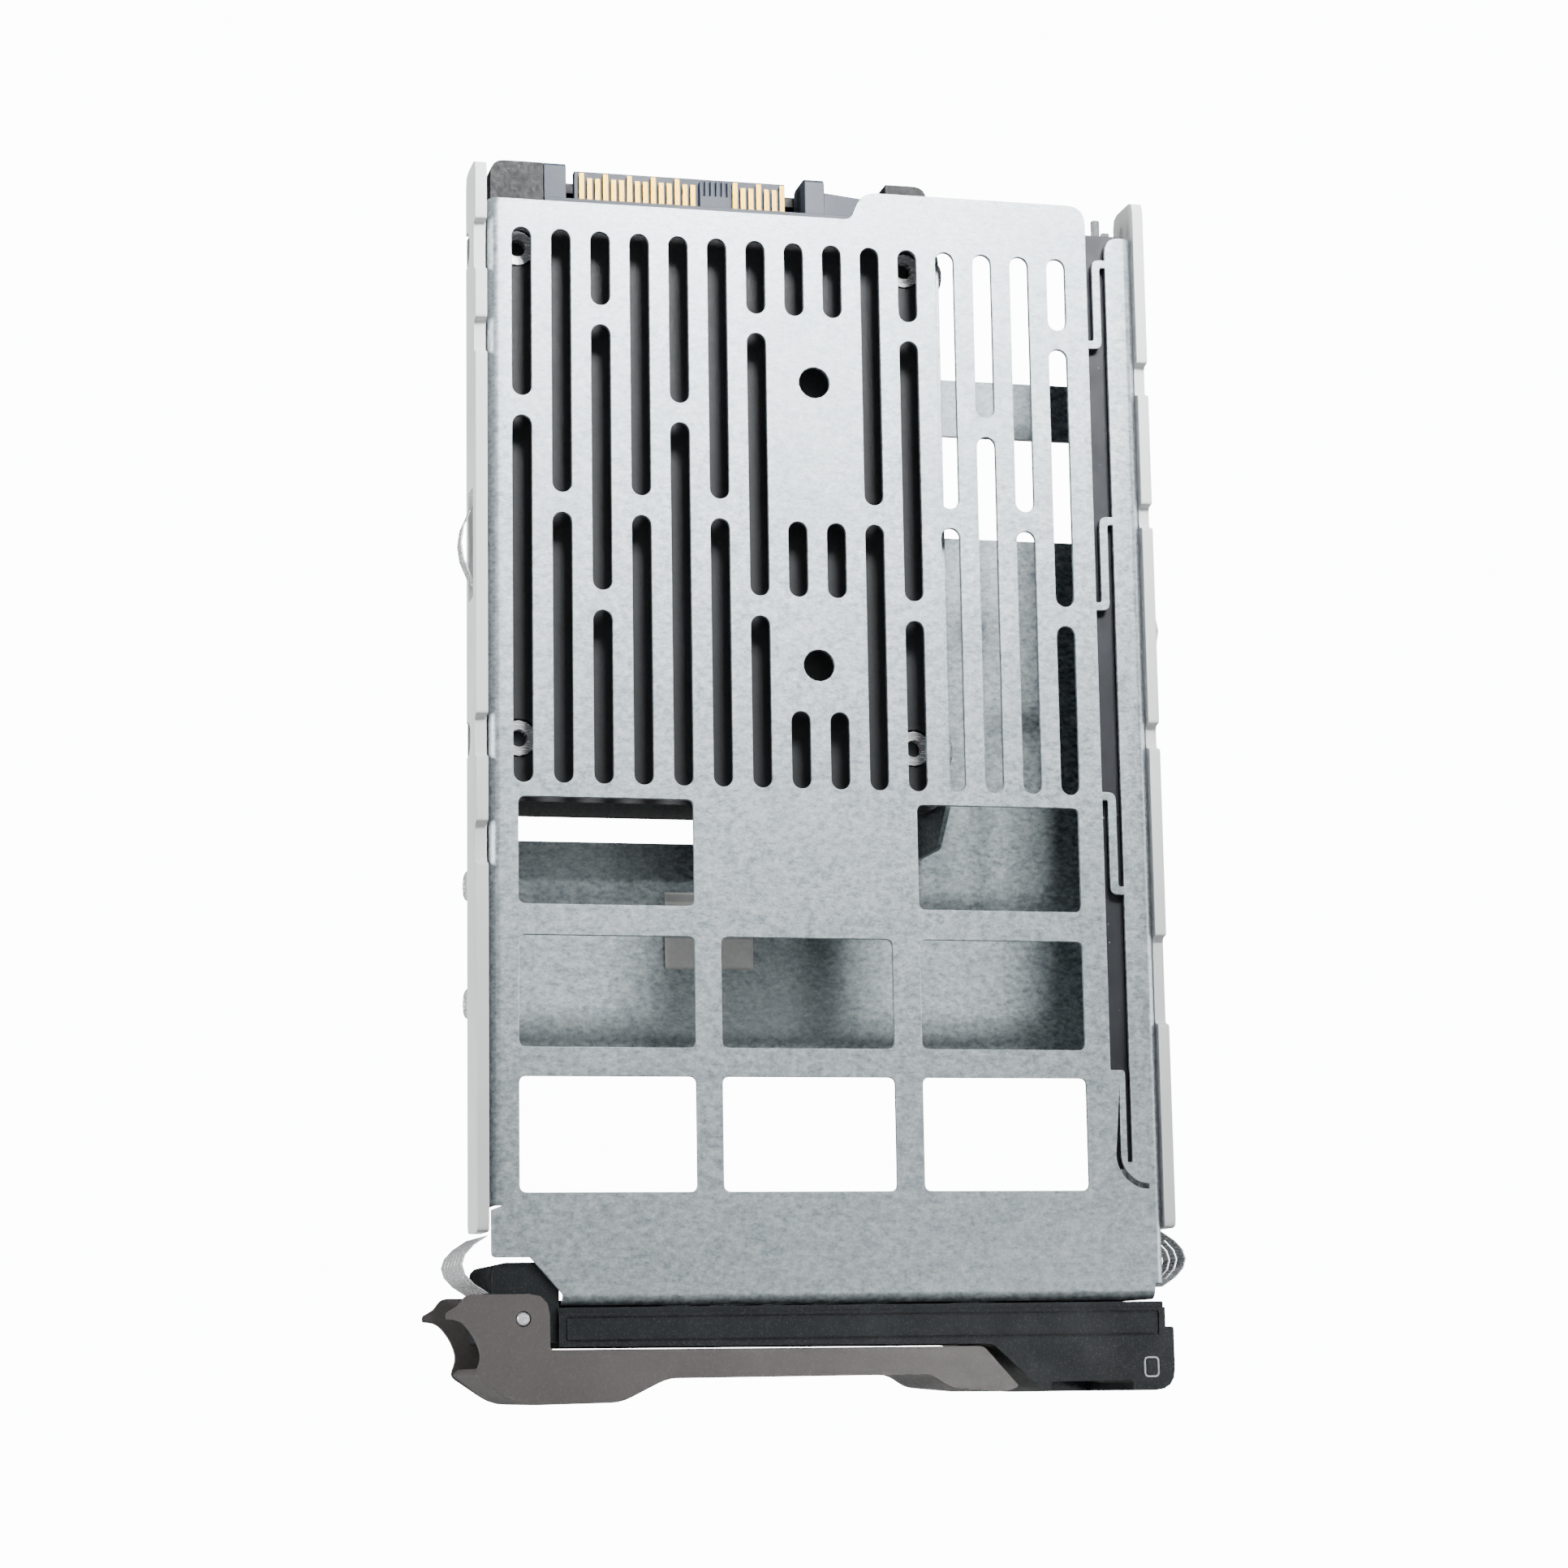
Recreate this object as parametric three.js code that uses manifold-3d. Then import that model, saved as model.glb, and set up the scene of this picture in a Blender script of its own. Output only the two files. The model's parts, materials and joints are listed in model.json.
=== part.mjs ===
// A 2.5 inch solid state drive screwed into a sliding carrier for a 3.5 inch drive bay.
// Millimetres. X runs across the carrier, Y from its slotted base to its open side, and
// Z from the handle at the front up to the connector at the back.
import * as THREE from 'three';
import { mergeVertices } from 'three/addons/utils/BufferGeometryUtils.js';
import Module from 'manifold-3d';

const wasm = await Module();
wasm.setup();

// ---------------------------------------------------------------- driving dimensions
const GAP = 0.3;                  // clearance between neighbouring pieces

// sheet-metal tray: inside width is that of a 3.5 inch drive
const SHEET = 0.8;
const TRAY_W = 101.6 + 2 * SHEET;
const TRAY_D = 22;
const BEND = 1.6;
const TRAY_FRONT = 14.3;
const TRAY_REAR = 181.7;
const TRAY_STEP_REAR = 186.2;
const STEP_X = 57;
const WALL_START = 28.2;
const PLATE_RIGHT = 95.5;
const STRIP_LEFT = 98.6;
const STRIP_REAR = 181.3;

// slotted field
const SLOT_W = 3.0;
const SLOT_X = 5.0;
const SLOT_PITCH = 6.1;
const SLOT_TOP = 177.2;
const SLOT_BOTTOM = 91.4;
const BRIDGE = 3.1;
const BRIDGE_A = 164.0;
const BRIDGE_B = 149.2;
const BRIDGE_C = 134.4;
const BRIDGE_D = 119.5;
const SHORT_MID = 121.1;
const SHORT_LOW = 103.3;
const HOLE_R = 2.45;
const HOLE_X = 50.7;
const HOLE_Z = [155.0, 110.5];

// windows
const WINDOW_X = [[4.2, 30.8], [34.8, 61.4], [65.7, 91.6]];
const WINDOW_Z = [[73.2, 89.3], [52.0, 68.6], [30.7, 47.7]];

// solid state drive, a standard 2.5 inch case 15 mm high
const SSD = { x: 1.15, y: 5.5, z: 89.4, w: 69.85, d: 15, h: 100.2 };
const SSD_WALL = 1.6;
const SSD_FLOOR = 1.2;
const COVER = 1.3;
const SSD_REAR = SSD.z + SSD.h;
const SSD_RIGHT = SSD.x + SSD.w;
const SSD_BACK = SSD.y + SSD.d;
const BASE_BACK = SSD_BACK - COVER - GAP;
const HOLES_X = [SSD.x + 4.07, SSD.x + 4.07 + 61.72];
const HOLES_Z = [SSD_REAR - 90.6, SSD_REAR - 14];
const SIDE_HOLE_Y = SSD.y + 3.1;
const INSERT_R = 2.7;
const INSERT_L = 1.6;
const BOARD_Y = 10.6;
const BOARD_T = 1.4;
const PART_Y = BOARD_Y + BOARD_T + GAP;

// connector
const PLUG = { left: 9.7, right: 64.0, front: 181.9, shelf: 184.4, rear: 190.3 };
const TONGUE = { left: 15.0, right: 48.9, y: 9.6, t: 1.4, rear: 190.0 };
const CONTACT_PITCH = 1.27;
const CONTACT_W = 0.84;
const CONTACT_T = 0.25;
const POWER_X = 16.1;
const POWER_COUNT = 15;
const SIGNAL_X = 40.7;
const SIGNAL_COUNT = 7;

// adapter bracket between the drive and the tray
const FAR_Y = 20.8;
const ADAPTER = { left: 1.15, right: 102.0, low: 51.8, mid: 85.7, high: 136.3, wall: 71.5 };

// guide rails and springs
const RAIL_T = 1.75;
const RAIL_D = 9.5;
const RAIL_LOW = 25;
const RAIL_HIGH = 187.8;
const SPRING_T = 0.25;

// bezel and handle
const FRONT_D = 25.4;
const WALL = 1.5;
const PIVOT = { x: 4.65, z: 12.4, r: 1.0 };
const EAR_T = 1.2;
const EAR_TOP = 16.0;
const BUTTON = { left: 85.2, right: 96.8, y0: 6.3, y1: 18.7, low: 2.4, high: 4.9 };
const RECESS = 2.2;               // height of the finger recess under the button
const BUTTON_X = (BUTTON.left + BUTTON.right) / 2;
const MID_Y = FRONT_D / 2;

// ---------------------------------------------------------------- materials
const finish = (color, roughness, metalness) =>
  new THREE.MeshStandardMaterial({ color, roughness, metalness });
const steel = finish(0xb4bec2, 0.45, 0.9);
const stainless = finish(0xd2d6da, 0.25, 1.0);
const railPlastic = finish(0xc8ccce, 0.6, 0);
const clear = finish(0xe6eef2, 0.1, 0);
const blackFilm = finish(0x24262b, 0.5, 0);
const charcoal = finish(0x3c3e41, 0.6, 0.3);
const labelPaper = finish(0xf2f2ee, 0.7, 0);
const slate = finish(0x4f5560, 0.6, 0);
const gold = finish(0xe6bf6a, 0.3, 1.0);
const boardGreen = finish(0x1d4a35, 0.6, 0);
const chipBlack = finish(0x1c1d1f, 0.5, 0);
const padGrey = finish(0x9aa4b4, 0.9, 0);
const bezelBlack = finish(0x262c30, 0.5, 0.2);
const bronze = finish(0x6f6a66, 0.4, 0.6);
const buttonSlate = finish(0x46505a, 0.5, 0.1);

// ---------------------------------------------------------------- shape tools
const model = new THREE.Group();

function add(name, geometry, material) {
  const mesh = new THREE.Mesh(geometry, material);
  mesh.name = name;
  model.add(mesh);
}

function solidOf(geometry) {
  const bare = geometry.clone();
  bare.deleteAttribute('normal');
  bare.deleteAttribute('uv');
  const merged = mergeVertices(bare, 1e-4);
  const vertProperties = new Float32Array(merged.attributes.position.array);
  const triVerts = new Uint32Array(merged.index.array);
  return new wasm.Manifold(new wasm.Mesh({ numProp: 3, vertProperties, triVerts }));
}

function geometryOf(solid) {
  const { vertProperties, triVerts } = solid.getMesh();
  const geometry = new THREE.BufferGeometry();
  geometry.setAttribute('position', new THREE.BufferAttribute(new Float32Array(vertProperties), 3));
  geometry.setIndex(new THREE.BufferAttribute(new Uint32Array(triVerts), 1));
  geometry.computeVertexNormals();
  return geometry;
}

function join(...geometries) {
  return geometryOf(geometries.map(solidOf).reduce((whole, piece) => whole.add(piece)));
}

function cut(geometry, ...tools) {
  return geometryOf(tools.map(solidOf).reduce((whole, tool) => whole.subtract(tool), solidOf(geometry)));
}

// A closed outline through [u, v, rounding] points; rounding is the length cut off each edge.
function outline(points) {
  const shape = new THREE.Shape();
  const at = (i) => new THREE.Vector2(...points[(i + points.length) % points.length].slice(0, 2));
  points.forEach(([, , rounding = 0], i) => {
    const corner = at(i);
    const towards = (other) => corner.clone().add(other.sub(corner).setLength(rounding));
    const start = rounding ? towards(at(i - 1)) : corner;
    if (i === 0) shape.moveTo(start.x, start.y);
    else shape.lineTo(start.x, start.y);
    if (rounding) {
      const end = towards(at(i + 1));
      shape.quadraticCurveTo(corner.x, corner.y, end.x, end.y);
    }
  });
  shape.closePath();
  return shape;
}

const rect = (u0, v0, u1, v1, r = 0) => outline([[u0, v0, r], [u1, v0, r], [u1, v1, r], [u0, v1, r]]);

// A circle as an even polygon; sides grow with the radius.
function ring(u, v, r, sides = r < 1 ? 8 : Math.round(12 + 2 * r)) {
  const angles = Array.from({ length: sides }, (_, i) => 2 * Math.PI * i / sides);
  return outline(angles.map((a) => [u + r * Math.cos(a), v + r * Math.sin(a)]));
}

function slot(u, v0, v1, width) {
  const r = width / 2;
  const shape = new THREE.Shape();
  shape.absarc(u, v1 - r, r, 0, Math.PI);
  shape.absarc(u, v0 + r, r, Math.PI, 2 * Math.PI);
  shape.closePath();
  return shape;
}

function hexagon(u, v, r) {
  const corners = [0, 1, 2, 3, 4, 5].map((i) => (i + 0.5) * Math.PI / 3);
  return outline(corners.map((a) => [u + r * Math.cos(a), v + r * Math.sin(a)]));
}

const extruded = (shapes, depth, curveSegments) =>
  new THREE.ExtrudeGeometry(shapes, { depth, bevelEnabled: false, curveSegments });

// Plates drawn in two axes and thick along the third.
const plateXY = (shapes, z0, z1, fine = 3) => extruded(shapes, z1 - z0, fine).translate(0, 0, z0);
const plateXZ = (shapes, y0, y1, fine = 3) =>
  extruded(shapes, y1 - y0, fine).rotateX(Math.PI / 2).translate(0, y1, 0);
function plateYZ(shapes, x0, x1, fine = 3) {
  const axes = [[0, 1, 0], [0, 0, 1], [1, 0, 0]].map((axis) => new THREE.Vector3(...axis));
  const turn = new THREE.Matrix4().makeBasis(...axes);
  return extruded(shapes, x1 - x0, fine).applyMatrix4(turn).translate(x0, 0, 0);
}

function block(x0, x1, y0, y1, z0, z1) {
  const box = new THREE.BoxGeometry(x1 - x0, y1 - y0, z1 - z0);
  return box.translate((x0 + x1) / 2, (y0 + y1) / 2, (z0 + z1) / 2);
}

// A round piece turned about an axis from [radius, height] points; it stands along +Z.
function turned(points, sides = 20) {
  return new THREE.LatheGeometry(points.map(([r, h]) => new THREE.Vector2(r, h)), sides).rotateX(Math.PI / 2);
}

// A coil along +Z from 0 to length.
function coil(radius, wire, length, turns) {
  const curve = new THREE.Curve();
  curve.getPoint = (t, target = new THREE.Vector3()) => {
    const angle = 2 * Math.PI * turns * t;
    return target.set(radius * Math.cos(angle), radius * Math.sin(angle), length * t);
  };
  const options = { extrudePath: curve, steps: Math.round(turns * 9), bevelEnabled: false };
  return new THREE.ExtrudeGeometry(ring(0, 0, wire, 5), options);
}

// A screw along +Z: a low head above 0, then its shank down to -length.
function screw(headR, headH, shankR, length) {
  const profile = [[0, -length], [shankR, -length], [shankR, 0], [headR, 0], [headR, headH * 0.6],
    [headR * 0.8, headH], [0, headH]];
  return turned(profile, 10);
}

const facing = { minusX: [0, -Math.PI / 2, 0], plusX: [0, Math.PI / 2, 0], plusY: [-Math.PI / 2, 0, 0] };

function placed(geometry, turn, x, y, z) {
  const [rx, ry, rz] = turn;
  return geometry.rotateX(rx).rotateY(ry).rotateZ(rz).translate(x, y, z);
}

// ---------------------------------------------------------------- tray
const above = (bridge) => bridge + BRIDGE / 2;
const below = (bridge) => bridge - BRIDGE / 2;

// Each column of the field as its list of slots, from the back to the front.
function slotColumns() {
  const split = (...bridges) => {
    const tops = [SLOT_TOP, ...bridges.map(below)];
    const bottoms = [...bridges.map(above), SLOT_BOTTOM];
    return tops.map((top, i) => [bottoms[i], top]);
  };
  const besideHoles = [[above(BRIDGE_A), SLOT_TOP], [SHORT_MID, below(BRIDGE_C)], [SLOT_BOTTOM, SHORT_LOW]];
  const one = split(BRIDGE_B);
  const two = split(BRIDGE_C);
  const three = split(BRIDGE_A, BRIDGE_D);
  return [one, two, three, two, one, two, three, besideHoles, besideHoles, two, three, two, one, two, three];
}

function basePlate() {
  const inner = SHEET + 0.8;
  const shape = outline([
    [BEND, TRAY_REAR], [STEP_X, TRAY_REAR, 1], [STEP_X + 1.8, TRAY_STEP_REAR, 2.6],
    [PLATE_RIGHT, TRAY_STEP_REAR, 3], [PLATE_RIGHT, 49], [97.8, 49, 0.6], [97.8, 35], [STRIP_LEFT, 35],
    [STRIP_LEFT, STRIP_REAR, 2.5], [TRAY_W - BEND, STRIP_REAR], [TRAY_W - BEND, TRAY_FRONT + 2.4],
    [TRAY_W - inner, TRAY_FRONT + BEND], [10.5, TRAY_FRONT + BEND], [5.7, 21.3], [0, 21.3, 0.8],
    [0, WALL_START], [BEND, WALL_START + 0.6],
  ]);
  slotColumns().forEach((slots, column) => {
    const x = SLOT_X + column * SLOT_PITCH;
    slots.forEach(([bottom, top]) => shape.holes.push(slot(x, bottom, top, SLOT_W)));
  });
  HOLE_Z.forEach((z) => shape.holes.push(ring(HOLE_X, z, HOLE_R)));
  WINDOW_Z.forEach(([low, high], row) => WINDOW_X.forEach(([left, right], column) => {
    if (row > 0 || column !== 1) shape.holes.push(rect(left, low, right, high, 1.1));
  }));
  shape.holes.push(flexureSlot());
  return plateXZ(shape, 0, SHEET, 5);
}

// The long slot beside the last flexure, which ends in a quarter turn under the strip.
function flexureSlot() {
  const [x, z, width, radius] = [101.3, 36.2, 0.8, 5.3];
  const shape = new THREE.Shape();
  shape.moveTo(x - radius, 45.8);
  shape.absarc(x, z, radius, Math.PI, 1.5 * Math.PI);
  shape.absarc(x, z, radius - width, 1.5 * Math.PI, Math.PI, true);
  shape.lineTo(x - radius + width, 45.8);
  shape.closePath();
  return shape;
}

// A thin link that lets the strip give; it joins the plate at one end and the strip at the other.
function flexure(low, high, plateAtTop) {
  const [left, right, arm] = [96.4, 97.7, 1.3];
  const [plateX, stripX] = [PLATE_RIGHT - 0.5, STRIP_LEFT + 0.5];
  const up = [[plateX, low], [right, low, 1.2], [right, high - arm, 0.4], [stripX, high - arm], [stripX, high],
    [left, high, 1.2], [left, low + arm, 0.4], [plateX, low + arm]];
  const turnedOver = up.map(([x, z, r]) => [x, low + high - z, r]).reverse();
  return plateXZ(outline(plateAtTop ? turnedOver : up), 0, SHEET);
}

// An L section with a rounded bend: one leg lies in the base, the other stands to depth.
function bentSection(depth) {
  const shape = new THREE.Shape();
  shape.moveTo(BEND + 0.4, 0);
  shape.lineTo(BEND + 0.4, SHEET);
  shape.lineTo(BEND, SHEET);
  shape.absarc(BEND, BEND, BEND - SHEET, 1.5 * Math.PI, Math.PI, true);
  shape.lineTo(SHEET, depth);
  shape.lineTo(0, depth);
  shape.lineTo(0, BEND);
  shape.absarc(BEND, BEND, BEND, Math.PI, 1.5 * Math.PI);
  shape.closePath();
  return shape;
}

function leftWall() {
  return plateXY(bentSection(TRAY_D), WALL_START + 0.6, TRAY_REAR, 2);
}

function rightWall() {
  const low = TRAY_FRONT + 2.4;
  return plateXY(bentSection(TRAY_D), 0, STRIP_REAR - low, 2).rotateY(Math.PI).translate(TRAY_W, 0, STRIP_REAR);
}

function frontFlange() {
  const [left, right] = [10.5, TRAY_W - SHEET - 0.8];
  const axes = [[0, 0, 1], [0, 1, 0], [-1, 0, 0]].map((axis) => new THREE.Vector3(...axis));
  const turn = new THREE.Matrix4().makeBasis(...axes);
  return extruded(bentSection(TRAY_D), right - left, 2).applyMatrix4(turn).translate(right, 0, TRAY_FRONT);
}

const BEZEL_SCREW_X = [22, 68];
const ADAPTER_SCREWS = [[-1, 60], [-1, 78], [1, 60], [1, 124]];
const ADAPTER_SCREW_Y = 17;

function trayCutters() {
  const vents = [];
  for (let x = 30; x <= 60; x += 7.5) vents.push(rect(x - 2.5, 5, x + 2.5, 18, 1.2));
  for (let x = 76; x <= 80; x += 8) vents.push(rect(x - 3, 5, x + 3, 18, 1.2));
  const frontHoles = [...vents, ...BEZEL_SCREW_X.map((x) => ring(x, MID_Y, 1.5)), rect(98.1, 4, 101.2, 7)];
  const leftHoles = HOLES_Z.map((z) => ring(SIDE_HOLE_Y, z, 1.5));
  const rightHoles = [];
  ADAPTER_SCREWS.forEach(([side, z]) => {
    (side < 0 ? leftHoles : rightHoles).push(ring(ADAPTER_SCREW_Y, z, 1.5));
  });
  for (let z = 104; z <= 160; z += 14) leftHoles.push(rect(12.5, z - 4.5, 19, z + 4.5, 1.5));
  for (let z = 140; z <= 170; z += 14) rightHoles.push(rect(12.5, z - 4.5, 19, z + 4.5, 1.5));
  return [
    plateXY(frontHoles, TRAY_FRONT - 1, TRAY_FRONT + 2),
    plateYZ(leftHoles, -1, 2),
    plateYZ(rightHoles, TRAY_W - 2, TRAY_W + 1),
  ];
}

function tray() {
  const links = [flexure(162.9, 177.5, false), flexure(120.7, 135.7, false), flexure(76.0, 92.0, true)];
  const sheet = join(basePlate(), leftWall(), rightWall(), frontFlange(), ...links);
  return cut(sheet, ...trayCutters());
}
add('tray', tray(), steel);

// ---------------------------------------------------------------- guide rails
// A rail drawn in Y and Z with shallow scallops along the edge beside the base plate.
function rail(scallops, holes, springZ) {
  const edge = [];
  scallops.forEach(([low, high]) => {
    edge.push([0, high, 0.6], [1.6, high, 0.8], [1.6, low, 0.8], [0, low, 0.6]);
  });
  const shape = outline([[0, RAIL_HIGH, 2], ...edge, [0, RAIL_LOW, 1.2], [RAIL_D, RAIL_LOW, 1.2],
    [RAIL_D, RAIL_HIGH, 2]]);
  holes.forEach((z) => shape.holes.push(ring(SIDE_HOLE_Y - 1.4, z, 2.2)));
  shape.holes.push(rect(3, springZ[0] - 1, 7.6, springZ[1] + 1, 0.6));
  return shape;
}
const LEFT_LEAF = [120.9, 135.9];
const RIGHT_LEAF = [112.5, 124.5];
const LEFT_SCALLOPS = [[170.5, 178.2], [157.5, 162.6], [95.3, 101.6], [79.3, 85.4]];
const RIGHT_SCALLOPS = [[155.9, 160.9], [134.4, 138.0], [99.2, 103.0], [56.2, 69.7]];
const LEFT_RAIL_X = -GAP - RAIL_T;
const RIGHT_RAIL_X = TRAY_W + GAP;
function leftRail() {
  const holes = HOLES_Z.map((z) => ring(SIDE_HOLE_Y, z, 2.8));
  const body = plateYZ(rail(LEFT_SCALLOPS, [], LEFT_LEAF), LEFT_RAIL_X, -GAP, 2);
  return cut(body, plateYZ(holes, LEFT_RAIL_X - 1, 1, 4));
}
add('left_rail', leftRail(), railPlastic);
add('right_rail',
  plateYZ(rail(RIGHT_SCALLOPS, [], RIGHT_LEAF), RIGHT_RAIL_X, RIGHT_RAIL_X + RAIL_T, 2), railPlastic);

// A bowed strip of spring steel drawn in X and Z, bulging towards -X from x = 0.
function bow(low, high, bulge, thickness) {
  const mid = (low + high) / 2;
  const shape = new THREE.Shape();
  shape.moveTo(0, low);
  shape.quadraticCurveTo(-2 * bulge, mid, 0, high);
  shape.lineTo(thickness, high);
  shape.quadraticCurveTo(thickness - 2 * bulge, mid, thickness, low);
  shape.closePath();
  return shape;
}
const mirrored = (geometry, low, high) => geometry.rotateZ(Math.PI).translate(0, low + high, 0);
add('left_leaf_spring', plateXZ(bow(...LEFT_LEAF, 3.3, SPRING_T), 3.6, 7, 6).translate(-0.6, 0, 0), stainless);
add('right_leaf_spring',
  mirrored(plateXZ(bow(...RIGHT_LEAF, 3.1, SPRING_T), 3.6, 7, 6), 3.6, 7).translate(TRAY_W + 0.6, 0, 0), stainless);

// Contact fingers that ground the front of the carrier to the chassis.
function fingerStrip() {
  const [low, high] = [16.2, 24.6];
  const strip = plateXZ(bow(low, high, 3.9, SPRING_T), 2, 22, 6);
  const gaps = [5, 8.2, 11.4, 14.6, 17.8].map((y) => block(-6, 1, y, y + 0.7, low + 1.3, high - 1.3));
  return cut(strip, ...gaps);
}
add('left_ground_spring', fingerStrip().translate(-0.3, 0, 0), stainless);
add('right_ground_spring', mirrored(fingerStrip(), 2, 22).translate(TRAY_W + 0.3, 0, 0), stainless);

// ---------------------------------------------------------------- light pipes
const PIPE_Y = 4.5;
const PIPE_W = 1.3;
const PIPE_X = [98.3, 99.9];
['activity_light_pipe', 'status_light_pipe'].forEach((name, i) => {
  const section = rect(PIPE_X[i], PIPE_Y, PIPE_X[i] + PIPE_W, PIPE_Y + PIPE_W, 0.3);
  add(name, plateXY(section, TRAY_FRONT + SHEET + GAP, 185.6 - 2 * i, 1), clear);
});
add('light_pipe_shield', block(93.6, 101.5, 1.5, 1.8, 34, 182), blackFilm);

// ---------------------------------------------------------------- adapter bracket
function adapterPlate() {
  const { left, right, low, mid, high, wall } = ADAPTER;
  return plateXZ(outline([
    [left, low, 1], [right, low, 1], [right, high, 1], [wall + 9, high, 1], [wall + 9, 97, 3],
    [wall + 1, mid + 6], [wall + SHEET, mid + 6], [wall - 4, mid, 1.5], [left, mid, 1],
  ]), FAR_Y, FAR_Y + SHEET);
}
function adapterBracket() {
  const { left, right, low, mid, high, wall } = ADAPTER;
  const [sideLow, sideHigh] = [84, 178.5];
  const side = plateYZ(outline([[4, sideLow + 6, 1], [10, sideLow, 1], [FAR_Y + SHEET, sideLow],
    [FAR_Y + SHEET, sideHigh, 2], [4, sideHigh, 2]]), wall, wall + SHEET);
  const bar = block(wall, right, FAR_Y, FAR_Y + SHEET, 153.2, 162.6);
  const leftLeg = block(left, left + SHEET, 13, FAR_Y + SHEET, low + 3, mid - 3);
  const rightLeg = block(right - SHEET, right, 13, FAR_Y + SHEET, low + 3, high - 3);
  const barLeg = block(right - SHEET, right, 13, FAR_Y + SHEET, 153.2, 162.6);
  const web = block(wall, wall + 9.5, FAR_Y, FAR_Y + SHEET, mid + 4, high);
  const holes = HOLES_Z.map((z) => ring(SIDE_HOLE_Y, z, 1.5));
  const legHoles = (sign) => ADAPTER_SCREWS.filter(([side]) => side === sign)
    .map(([, z]) => ring(ADAPTER_SCREW_Y, z, 1.5));
  return cut(
    join(adapterPlate(), side, bar, leftLeg, rightLeg, barLeg, web),
    plateYZ(holes, wall - 1, wall + 2),
    plateYZ(legHoles(-1), left - 1, left + 2),
    plateYZ(legHoles(1), right - 2, right + 1),
  );
}
add('adapter_bracket', adapterBracket(), steel);
add('adapter_label', block(30.5, 44.5, FAR_Y - GAP - 0.2, FAR_Y - GAP, 66, 78), labelPaper);

// ---------------------------------------------------------------- side screws
HOLES_Z.forEach((z, i) => {
  const driveScrew = (turn, x) => placed(screw(2.3, 1.0, 1.1, 3.6), turn, x, SIDE_HOLE_Y, z);
  add(`drive_screw_left_${i + 1}`, driveScrew(facing.minusX, -GAP), stainless);
  const seat = ADAPTER.wall + SHEET + GAP;
  add(`drive_screw_right_${i + 1}`, driveScrew(facing.plusX, seat), stainless);
});
ADAPTER_SCREWS.forEach(([side, z], i) => {
  const [turn, x] = side < 0 ? [facing.minusX, -GAP] : [facing.plusX, TRAY_W + GAP];
  add(`adapter_screw_${i + 1}`, placed(screw(2.3, 1.0, 1.1, 3.4), turn, x, ADAPTER_SCREW_Y, z), stainless);
});

// ---------------------------------------------------------------- drive case
const HOLE_PAIRS = HOLES_X.flatMap((x) => HOLES_Z.map((z) => [x, z]));
function ssdBase() {
  const shell = plateXZ(rect(SSD.x, SSD.z, SSD_RIGHT, SSD_REAR, 2.2), SSD.y, BASE_BACK, 4);
  const pocket = plateXZ(
    rect(SSD.x + SSD_WALL, SSD.z + SSD_WALL, SSD_RIGHT - SSD_WALL, SSD_REAR - SSD_WALL, 1.2),
    SSD.y + SSD_FLOOR, BASE_BACK + 1);
  const bosses = HOLE_PAIRS.map(([x, z]) => plateXZ(ring(x, z, 3.9), SSD.y + 0.5, BOARD_Y - GAP, 5));
  const sockets = HOLE_PAIRS.map(([x, z]) => ring(x, z, INSERT_R + GAP));
  const sides = HOLES_Z.map((z) => ring(SIDE_HOLE_Y, z, 1.4));
  const posts = COVER_SCREWS.map(([x, z]) => plateXZ(ring(x, z, 2.2), SSD.y + 0.5, BASE_BACK, 4));
  return cut(
    join(cut(shell, pocket), ...bosses, ...posts),
    plateXZ(sockets, SSD.y - 1, SSD.y + INSERT_L + GAP, 5),
    plateYZ(sides, SSD.x - 1, SSD.x + 3),
    plateYZ(sides, SSD_RIGHT - 3, SSD_RIGHT + 1),
    block(PLUG.left - GAP, PLUG.right + GAP, SSD.y - 1, 14.5, PLUG.front - GAP, SSD_REAR + 1),
    plateXZ(COVER_SCREWS.map(([x, z]) => ring(x, z, 1.1)), 13, BASE_BACK + 1),
  );
}
const COVER_SCREWS = [
  [SSD.x + 4.5, SSD.z + 4], [SSD_RIGHT - 4.5, SSD.z + 4],
  [SSD.x + 4.5, SSD_REAR - 4], [SSD_RIGHT - 4.5, SSD_REAR - 4],
];
add('ssd_base', ssdBase(), charcoal);

function ssdCover() {
  const plate = plateXZ(rect(SSD.x, SSD.z, SSD_RIGHT, SSD_REAR, 2.2), SSD_BACK - COVER, SSD_BACK, 4);
  const pedestal = block(18, 52, 15.9, SSD_BACK - COVER + 0.2, 108, 166);
  const seats = COVER_SCREWS.map(([x, z]) => ring(x, z, 1.1));
  return cut(join(plate, pedestal), plateXZ(seats, SSD_BACK - COVER - 1, SSD_BACK + 1));
}
add('ssd_cover', ssdCover(), charcoal);
add('ssd_label', block(9, 62, SSD_BACK + GAP, SSD_BACK + GAP + 0.2, 100, 176), labelPaper);
COVER_SCREWS.forEach(([x, z], i) => {
  const geometry = placed(screw(1.7, 0.6, 0.85, 4.2), facing.plusY, x, SSD_BACK + GAP, z);
  add(`cover_screw_${i + 1}`, geometry, stainless);
});

HOLE_PAIRS.forEach(([x, z], i) => {
  const [outer, bore, top] = [INSERT_R, 1.35, INSERT_L];
  const profile = [[bore, 0], [outer, 0], [outer, top], [bore, top], [bore, 0]];
  add(`threaded_insert_${i + 1}`, placed(turned(profile, 14), facing.plusY, x, SSD.y, z), stainless);
});

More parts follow.
